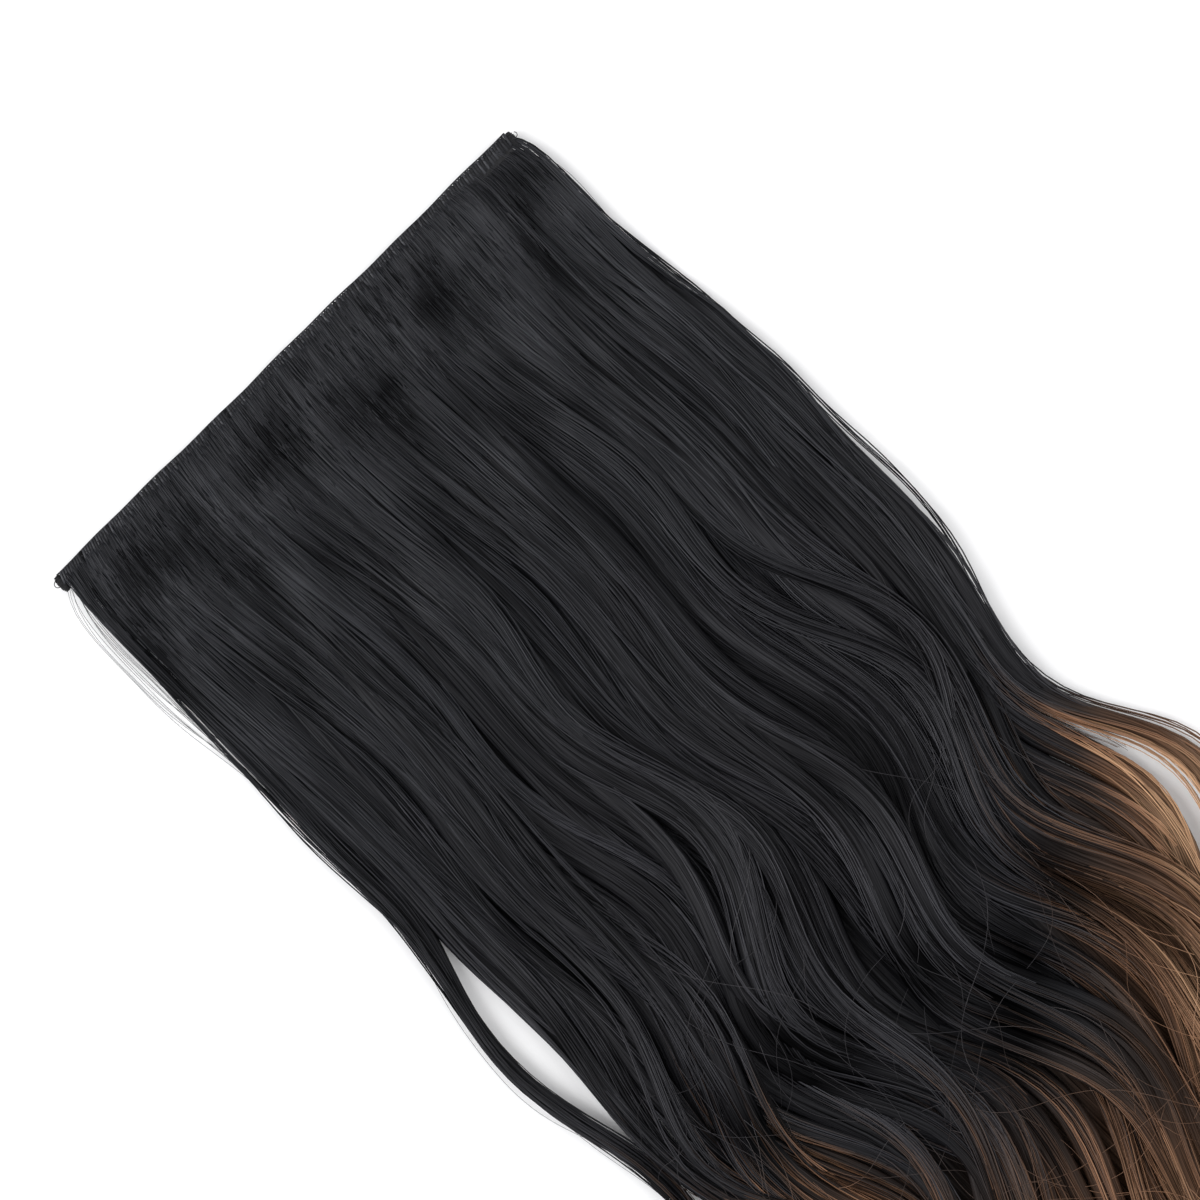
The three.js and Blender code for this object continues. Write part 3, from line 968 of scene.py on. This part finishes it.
def add_curtain(hair, material):
    """The backing curtain: one closed rippled sheet under the locks, with a ragged lower end."""
    across_count, near_count, far_count = 150, 34, 46
    down = np.concatenate([np.linspace(CURTAIN.down[0], 0.10, near_count),
                           np.linspace(0.10, CURTAIN.down[-1], far_count + 1)[1:]])[:, None]
    left = np.interp(down, CURTAIN.down, CURTAIN.left)
    right = np.interp(down, CURTAIN.down, CURTAIN.right)
    share = np.linspace(0, 1, across_count)[None, :]
    across = HALF_TRACK * lerp(left, right, share)
    ragged = 0.5 + 0.3 * np.sin(across * 410 + 1) + 0.2 * np.sin(across * 1130)
    ragged_from = 0.36
    down = down - 0.045 * ragged * ease(
        (down - ragged_from) / (CURTAIN.down[-1] - ragged_from))
    thin = np.sqrt(np.clip(4 * share * (1 - share) * 12, 0, 1))
    ripple = 0.0004 * np.sin(across * 900 + 9 * down) + 0.0003 * np.sin(across * 370 - 30 * down)
    near = 1 - ease((down - 0.02) / 0.10)
    sheet = sheet_top(hair, down) - 0.0009 + pucker(across, down)
    high = lerp(0.0027 + ripple, sheet + 0.3 * ripple, near)
    low = underside(hair, down) + 0.0004 * ease((down - HAIR_START) / hair.drop_run)
    low = np.minimum(low + 0 * across, high - 0.0006)
    middle = (low + high) / 2
    high = lerp(middle, high, thin)
    low = lerp(middle, low, thin)
    top = place(across, down, high)
    under = place(across, down, low)
    points = np.concatenate([top.reshape(-1, 3), under.reshape(-1, 3)])
    number = np.arange(top.shape[0] * across_count).reshape(-1, across_count)
    base = number.size
    cells = np.stack([number[:-1, :-1], number[1:, :-1], number[1:, 1:], number[:-1, 1:]], -1)
    faces = [cells, base + cells[..., [0, 3, 2, 1]]]
    rims = []
    for rim in (number[0, ::-1], number[-1, :], number[:, 0], number[::-1, -1]):
        rims.append(np.stack([rim[:-1], rim[:-1] + base, rim[1:] + base, rim[1:]], -1))
    quads = np.concatenate([f.reshape(-1, 4) for f in faces + rims])
    brown = brownness(across, down, 0.0)
    # Painted shade: the curtain under the locks is darker still than the mass.
    flat = np.stack([brown, np.full_like(brown, 0.2)], -1).reshape(-1, 2)
    flow = np.stack([1900 * across, np.broadcast_to(34 * down, across.shape),
                     np.zeros_like(across)], -1).reshape(-1, 3)
    piece = mesh_piece("hair_curtain", points, quads, None, material, np.tile(flat, (2, 1)),
                       flow=np.tile(flow, (2, 1)))
    return ride(piece, "hair_fibre")


BODY_START = 0.030
SHORT = 0.6  # A lock of less reach than this ends among the others


def add_wisps(hair, wisps, material):
    """The mass of the hair: one smooth tapered form a wisp."""
    stations, sides = 64, 10
    wisp = pick(wisps, np.arange(len(wisps.lock)))
    lock = rows_at(LOCKS, wisp.lock)
    reach = lock.reach * wisp.reach * np.where(lock.reach < SHORT, 0.90, 0.985)
    share = np.linspace(0, 1, stations)[None, :]
    down = lerp(BODY_START, hair.length * reach, share)
    across, middle, half_width, thick = wisp_course(hair, wisp, down)
    parted = ease((down - 0.03) / 0.08)
    near = 1 - ease((down - 0.05) / 0.04)
    thick = thick * (1 - near * np.clip(-pucker(across, down) / 0.0020, 0, 0.88))
    sheet = sheet_top(hair, down) - 0.0012 + pucker(across, down) - thick
    lowest = 0.85 * thick + 0.0001
    middle = np.maximum(lerp(sheet, middle, parted), lowest)
    along = down / (hair.length * reach)
    thin = np.sqrt(
        np.clip((1 - along) / 0.05, 0.02, 1) * np.clip((down - BODY_START) / 0.05, 0.02, 1))
    small = (lock.breadth < NARROW) | (wisp.stray > 0)
    thin = thin * np.where(small, 0.66, 0.92)
    across = draw_in(across * lerp(0.93, 1.0, parted), down)
    sunk = pucker(across, down)
    middle = np.maximum(middle + parted * sunk, lowest)
    paths = place(across, down, middle)
    # Painted shade: the mass is kept darker than the strands over it, and darker still in the hollows.
    tone = 0.30 + 0.05 * wisp.tone + np.clip(200 * sunk, -0.26, 0.0)
    # Painted light: lighter where the right flank's thin outer locks lie lower down.
    tone = tone + 0.10 * ease((across - 0.086) / 0.012) * ease((down - 0.24) / 0.03)
    tone = np.clip(tone, 0.02, 1)
    shade = np.stack([brownness(across, down, 0.012), tone], -1)
    piece = tubes("hair_body", paths, 0.9 * half_width * thin, 0.82 * thick * thin, sides,
                  material, shade, palette=False)
    return ride(piece, "hair_fibre", "hair")


STRAND_STATIONS = 66
ROOT_STATIONS = 9


def strand_downs(hair, start, end):
    """Stations along strands: few where they hang straight, then evenly to their tips."""
    near = np.linspace(0, 1, ROOT_STATIONS)[None, :-1] ** 1.8
    far = np.linspace(0, 1, STRAND_STATIONS - ROOT_STATIONS + 1)[None, :]
    return np.concatenate([lerp(start, hair.wave_start, near),
                           lerp(hair.wave_start, end, far)], axis=1)


def strand_tone(wisp, strand, across, down):
    """How light strands are: by strand and wisp at random, with painted shade for deep strands and
    in hollows, a painted sheen and shade that come and go along the waves, a painted sheen on the
    right near the track, and painted light where the right flank's thin locks lie lower down.
    """
    vivid = lerp(0.58, 0.86, ease((down - 0.10) / 0.08))
    # Painted shade: strands that lie deeper in their clump are darker.
    tone = 0.47 + vivid * (strand.tone - 0.30 * (strand.depth - 0.31))
    # Painted sheen: lighter towards the right flank near the track.
    tone = tone + 0.05 * ease((across - 0.05) / 0.03) * (1 - ease((down - 0.13) / 0.05))
    apart = lerp(0.035, 0.10, ease((down - 0.10) / 0.08))
    tone = tone + apart * wisp.tone
    # Painted sheen and shade: lighter and darker in turn along the hair, once a wave's length.
    painted_sheen = wave(down, 0.125, wisp.layer_turn)
    tone = tone + (0.08 + 0.12 * ease((down - 0.2) / 0.06)) * painted_sheen * ease((down - 0.10) / 0.10)
    # Painted shade in the hollows, and a little painted light where the sheet stands up.
    tone = tone + np.clip(190 * pucker(across, down), -0.46, 0.14)
    # Painted light: lighter where the right flank's thin outer locks lie lower down, as light through
    # thin hair.
    tone = tone + 0.28 * ease((across - 0.085) / 0.012) * ease((down - 0.24) / 0.03)
    tone = tone + 0.09 * ease((across - 0.102) / 0.008) * ease((down - 0.26) / 0.02)
    tone = tone + 0.06 * wave(down, 0.09, strand.frizz_turn)
    return np.clip(tone, 0, 1)


def add_strands(hair, wisps, material):
    """Strands over the wisps, in four pieces from the left flank to the right."""
    rng = np.random.default_rng(5)
    names = ("strands_left", "strands_middle_left", "strands_middle_right", "strands_right")
    strands = make_strands(rng, hair, wisps, hair.strands * len(names))
    spread_roots(hair, wisps, strands)
    order = np.argsort(strands.root)
    made = []
    for name, index in zip(names, np.array_split(order, len(names))):
        strand = pick(strands, index)
        wisp = rows_at(wisps, strand.wisp)
        lock = rows_at(LOCKS, wisp.lock)
        end = hair.length * lock.reach * wisp.reach * strand.reach
        down = strand_downs(hair, strand.start, end)
        across, up = strand_course(hair, wisps, strand, down)
        share = down / end
        half = hair.strand_width / 2 * strand.width
        half = half * lerp(1.0, 0.30, ease((share - 0.75) / 0.25))
        half = half * lerp(0.7, 1.0, ease(down / 0.02))
        brown = brownness(across, down, strand.shift)
        shade = np.stack([brown, strand_tone(wisp, strand, across, down)], -1)
        paths = place(across, down, up)
        piece = tubes(name, paths, half, 0.8 * half, 3, material, shade, 0.34)
        made.append(paths)
        ride(piece, "hair_fibre")
    return np.concatenate(made)


# The height field's cell, how far it starts to the left of and above the edge's middle, and its size

CELL = 0.004
FIELD_LEFT, FIELD_ABOVE = 0.15, 0.02
FIELD_WIDE, FIELD_LONG = 0.30, 0.60


def height_field(paths):
    """The height of the hair's surface in square cells, smoothed, as a function of place."""
    wide = int(FIELD_WIDE / CELL)
    long = int(FIELD_LONG / CELL)
    grid = np.zeros((wide, long))
    column = ((paths[..., 0] - EDGE_X + FIELD_LEFT) / CELL).astype(int).clip(0, wide - 1)
    row = ((EDGE_Y - paths[..., 1] + FIELD_ABOVE) / CELL).astype(int).clip(0, long - 1)
    np.maximum.at(grid, (column.ravel(), row.ravel()), paths[..., 2].ravel())
    for _ in range(2):
        padded = np.pad(grid, 1, mode="edge")
        grid = sum(padded[i:i + wide, j:j + long] for i in range(3) for j in range(3)) / 9

    def height(across, down):
        i = np.clip((across + FIELD_LEFT) / CELL - 0.5, 0, wide - 1.001)
        j = np.clip((down + FIELD_ABOVE) / CELL - 0.5, 0, long - 1.001)
        a, b = i.astype(int), j.astype(int)
        p, q = i - a, j - b
        return (grid[a, b] * (1 - p) * (1 - q) + grid[a + 1, b] * p * (1 - q)
                + grid[a, b + 1] * (1 - p) * q + grid[a + 1, b + 1] * p * q)

    return height


FLYAWAY_REACH = 0.118


def add_flyaways(hair, paths, material):
    """Thin stray hairs that leave the flow lower down and lie across the locks."""
    rng = np.random.default_rng(23)
    height = height_field(paths)
    count, stations = hair.flyaways, 30
    chosen = rng.integers(0, len(paths), count)
    first = rng.integers(int(0.44 * STRAND_STATIONS), STRAND_STATIONS - 10, count)
    start = paths[chosen, first]
    heading = start - paths[chosen, first - 1]
    angle = np.arctan2(heading[:, 0], -heading[:, 1]) + rng.normal(0, 0.24, count)
    length = rng.uniform(0.03, 0.15, count)
    bend = rng.normal(0, 6.0, count)[:, None]
    curl = rng.uniform(0.2, 0.7, count)[:, None]
    curl_length = rng.uniform(0.05, 0.12, count)[:, None]
    curl_turn = rng.uniform(0, 1, count)[:, None]
    step = (length / (stations - 1))[:, None]
    run = step * np.arange(stations)
    way = angle[:, None] + bend * run
    way = way + curl * wave(run, curl_length, curl_turn) - curl * np.sin(2 * np.pi * curl_turn)
    across = start[:, :1] - EDGE_X + np.cumsum(step * np.sin(way), axis=1)
    down = EDGE_Y - start[:, 1:2] + np.cumsum(step * np.cos(way), axis=1)
    across = FLYAWAY_REACH * np.tanh(across / FLYAWAY_REACH)
    down = np.minimum(down, hair.length - 0.002)
    share = np.clip(run / length[:, None], 0, 1)
    lift = rng.uniform(0.0004, 0.0022, count)[:, None] * hump(share) ** 0.7
    up = np.maximum(height(across, down), 0.0003) + lift
    up[:, 0] = np.minimum(up[:, 0], start[:, 2])
    half = np.full((count, stations), 0.00009) * lerp(1.1, 0.6, share)
    tone = np.repeat(rng.uniform(0.55, 1.0, count)[:, None], stations, axis=1)
    brown = np.clip(brownness(across, down, 0.0) + 0.02, 0, 1)
    piece = tubes("flyaways", place(across, down, up), half, half, 3, material,
                  np.stack([brown, tone], -1))
    return ride(piece, "hair_fibre")


def add_root_hairs(hair, material):
    """Short light and dark hairs that lie on the sheet near the track and sink in at their ends."""
    rng = np.random.default_rng(41)
    count, stations = hair.root_hairs, 4
    share = np.linspace(0, 1, stations)[None, :]
    root = HALF_BAND * rng.uniform(-0.97, 0.97, (count, 1))
    start = 0.0036 + 0.040 * rng.beta(1.0, 1.7, (count, 1))
    length = rng.uniform(0.004, 0.013, (count, 1))
    down = start + length * share
    across = root_line(root, down) + rng.normal(0, 0.07, (count, 1)) * (down - start)
    arch = hump(share) ** 0.5
    up = sheet_top(hair, down) + pucker(across, down) + 0.00070 * arch - 0.00035
    half = (0.00004 + 0.00008 * arch) * rng.uniform(0.7, 1.2, (count, 1))
    light = rng.uniform(0, 1, (count, 1)) < 0.6
    tone = np.where(light, rng.uniform(0.62, 1.0, (count, 1)), rng.uniform(0.02, 0.2, (count, 1)))
    # Painted shade: darker in the hollows.
    tone = np.clip(tone + np.clip(150 * pucker(across, down), -0.4, 0.0), 0, 1)
    shade = np.stack([np.zeros_like(tone), tone], -1)
    piece = tubes("root_hairs", place(across, down, up), half, half, 3, material, shade)
    return ride(piece, "hair_fibre")


def add_flank_hairs(hair, paths, material):
    """Thin see-through hairs beside both flanks, which leave the mass and join it again."""
    rng = np.random.default_rng(31)
    height = height_field(paths)
    grid = np.linspace(0.008, 0.50, 124)
    at = np.array([
        np.interp(grid, EDGE_Y - path[:, 1], path[:, 0] - EDGE_X, right=np.nan) for path in paths])
    sides = []
    for sign, wide, share_inside in ((-1, 0.0080, 0.992), (1, 0.0050, 0.990)):
        edge = np.nanquantile(sign * at, share_inside, axis=0)
        smooth = np.convolve(np.pad(edge, 3, mode="edge"), np.ones(7) / 7, mode="valid")
        count, stations = hair.flank_hairs, 36
        corner = np.arange(count)[:, None] < 0.45 * count
        start = np.where(corner, rng.uniform(0.0010, 0.0060, (count, 1)),
                         rng.uniform(0.02, 0.34, (count, 1)))
        length = rng.uniform(0.06, 0.17, (count, 1))
        share = np.linspace(0, 1, stations)[None, :]
        down = start + length * share
        out = wide * rng.beta(1.0, 1.4, (count, 1)) * lerp(1.0, 0.6, ease((down - 0.05) / 0.06))
        sway = rng.normal(0, 0.0004, (count, 1)) * wave(down, 0.06, rng.uniform(0, 1, (count, 1)))
        rise = 1 - np.exp(-length * share / 0.008)
        leave = np.where(corner, rise * (1 - share ** 3), hump(share) ** 0.7)
        across = np.interp(down, grid, smooth) - 0.0018 * (1 - leave) + (out + sway) * leave
        sides.append((sign * across, down, leave, rng.uniform(0.3, 0.8, (count, 1)) + 0 * share))
    across, down, leave, tone = (np.concatenate(column) for column in zip(*sides))
    up = 0.75 * height(across, down) * (1 - 0.6 * leave)
    up = np.maximum(lerp(BAND_HIGH.z - 0.0006, up, ease(down / 0.05)), 0.0004)
    half = 0.00008 * (0.6 + 0.4 * leave)
    shade = np.stack([brownness(across, down, 0.0), tone], -1)
    piece = tubes("flank_hairs", place(across, down, up), half, half, 3, material, shade)
    return ride(piece, "hair_fibre")


def add_holder(name, data, location, rotation):
    """An object for a lamp or a camera, in its place."""
    holder = bpy.data.objects.new(name, data)
    holder.location = location
    holder.rotation_euler = rotation
    bpy.context.scene.collection.objects.link(holder)
    return holder


# Operators: one for each piece or group of like pieces, and one for the stage


class WEFT_OT_track(bpy.types.Operator):
    """Finishes the stitched band with its ribs, its edge cord and its lock stitches"""

    bl_idname = "weft.track"
    bl_label = "Stitched track"

    def execute(self, context):
        track, colours = context.scene.weft_track, context.scene.weft_colours
        fabric = thread_material("track_fabric", colours.thread, 0.0009, 0.72)
        set_material(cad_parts["weft_band"].data, fabric)
        add_ribs(track, hair_material("track_ribs", colours))
        add_edge_threads(track, thread_material("edge_thread", colours.thread, 0.0005, 0.6))
        return {"FINISHED"}


class WEFT_OT_knots(bpy.types.Operator):
    """Winds a thread knot round each end of the track, and sews the clips on"""

    bl_idname = "weft.knots"
    bl_label = "Knots and sewing"

    def execute(self, context):
        track, colours = context.scene.weft_track, context.scene.weft_colours
        thread = thread_material("knot_thread", colours.thread, 0.0005, 0.62)
        for side in ("left", "right"):
            add_knot(track, side, thread)
        add_thread_ends(track, thread)
        add_clip_sewing(track, thread)
        return {"FINISHED"}


class WEFT_OT_clips(bpy.types.Operator):
    """Gives the snap clips their steel"""

    bl_idname = "weft.clips"
    bl_label = "Snap clips"

    def execute(self, context):
        steel = steel_material("clip_steel", context.scene.weft_colours.steel)
        for name in CLIPS:
            set_material(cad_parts[name].data, steel)
        return {"FINISHED"}


class WEFT_OT_hair(bpy.types.Operator):
    """Makes the curtain, the wisps, the strands and the stray hairs"""

    bl_idname = "weft.hair"
    bl_label = "Hair"

    def execute(self, context):
        hair, colours = context.scene.weft_hair, context.scene.weft_colours
        wisps = make_wisps(np.random.default_rng(3))
        under = body_material("hair_under", colours)
        fibre = hair_material("hair_fibre", colours)
        add_curtain(hair, under)
        add_wisps(hair, wisps, under)
        paths = add_strands(hair, wisps, fibre)
        add_flyaways(hair, paths, fibre)
        add_flank_hairs(hair, paths, fibre)
        add_root_hairs(hair, fibre)
        return {"FINISHED"}


class WEFT_OT_stage(bpy.types.Operator):
    """Sets the pale floor, the soft light and the camera"""

    bl_idname = "weft.stage"
    bl_label = "Stage"

    def execute(self, context):
        stage, colours = context.scene.weft_stage, context.scene.weft_colours
        deselect_all()
        bpy.ops.mesh.primitive_plane_add(size=40, location=(0, 0, -0.00005))
        floor = bpy.context.object
        floor.name = "floor"
        material, _, shader = node_material("floor_paper")
        shader.inputs["Base Color"].default_value = (*colours.floor, 1)
        shader.inputs["Roughness"].default_value = 0.9
        shader.inputs["Specular IOR Level"].default_value = 0.1
        floor.data.materials.append(material)
        world = bpy.data.worlds.new("even_light")
        world.use_nodes = True
        sky = world.node_tree.nodes["Background"]
        sky.inputs["Color"].default_value = (1, 1, 1, 1)
        sky.inputs["Strength"].default_value = stage.world
        context.scene.world = world
        middle = place(stage.across, stage.down, 0.0)
        for name, power, size, at in (
                ("key", stage.key, 0.9, (-0.75, 0.55, 1.15)),
                ("fill", stage.fill, 1.2, (0.9, -0.3, 1.1))):
            lamp = bpy.data.lights.new(name, "AREA")
            lamp.energy = power
            lamp.size = size
            towards = (-Vector(at)).to_track_quat("-Z", "Y").to_euler()
            add_holder(name, lamp, middle + np.array(at), towards)
        camera = bpy.data.cameras.new("view")
        camera.lens = stage.lens
        camera.clip_start, camera.clip_end = 0.01, 20
        distance = stage.view_width * stage.lens / camera.sensor_width
        context.scene.camera = add_holder(
            "view", camera, middle + np.array((0, 0, distance)), (0, 0, -stage.turn))
        context.scene.view_settings.view_transform = "Standard"
        return {"FINISHED"}


class WEFT_PT_panel(bpy.types.Panel):
    """Lists the weft's operators."""

    bl_label = "Hair weft"
    bl_idname = "WEFT_PT_panel"
    bl_space_type = "VIEW_3D"
    bl_region_type = "UI"
    bl_category = "Weft"

    def draw(self, context):
        for operator in OPERATORS:
            self.layout.operator(operator.bl_idname)


OPERATORS = (WEFT_OT_stage, WEFT_OT_track, WEFT_OT_knots, WEFT_OT_clips, WEFT_OT_hair)
GROUPS = {
    "weft_hair": WeftHairSizes,
    "weft_track": WeftTrackSizes,
    "weft_colours": WeftColours,
    "weft_stage": WeftStageSettings,
}


def register():
    for group in GROUPS.values():
        bpy.utils.register_class(group)
    for name, group in GROUPS.items():
        setattr(bpy.types.Scene, name, PointerProperty(type=group))
    for operator in OPERATORS:
        bpy.utils.register_class(operator)
    bpy.utils.register_class(WEFT_PT_panel)


def unregister():
    bpy.utils.unregister_class(WEFT_PT_panel)
    for operator in reversed(OPERATORS):
        bpy.utils.unregister_class(operator)
    for name, group in GROUPS.items():
        delattr(bpy.types.Scene, name)
        bpy.utils.unregister_class(group)


def main():
    register()
    bpy.ops.weft.stage()
    bpy.ops.weft.track()
    bpy.ops.weft.knots()
    bpy.ops.weft.clips()
    bpy.ops.weft.hair()


if __name__ == "__main__":
    main()
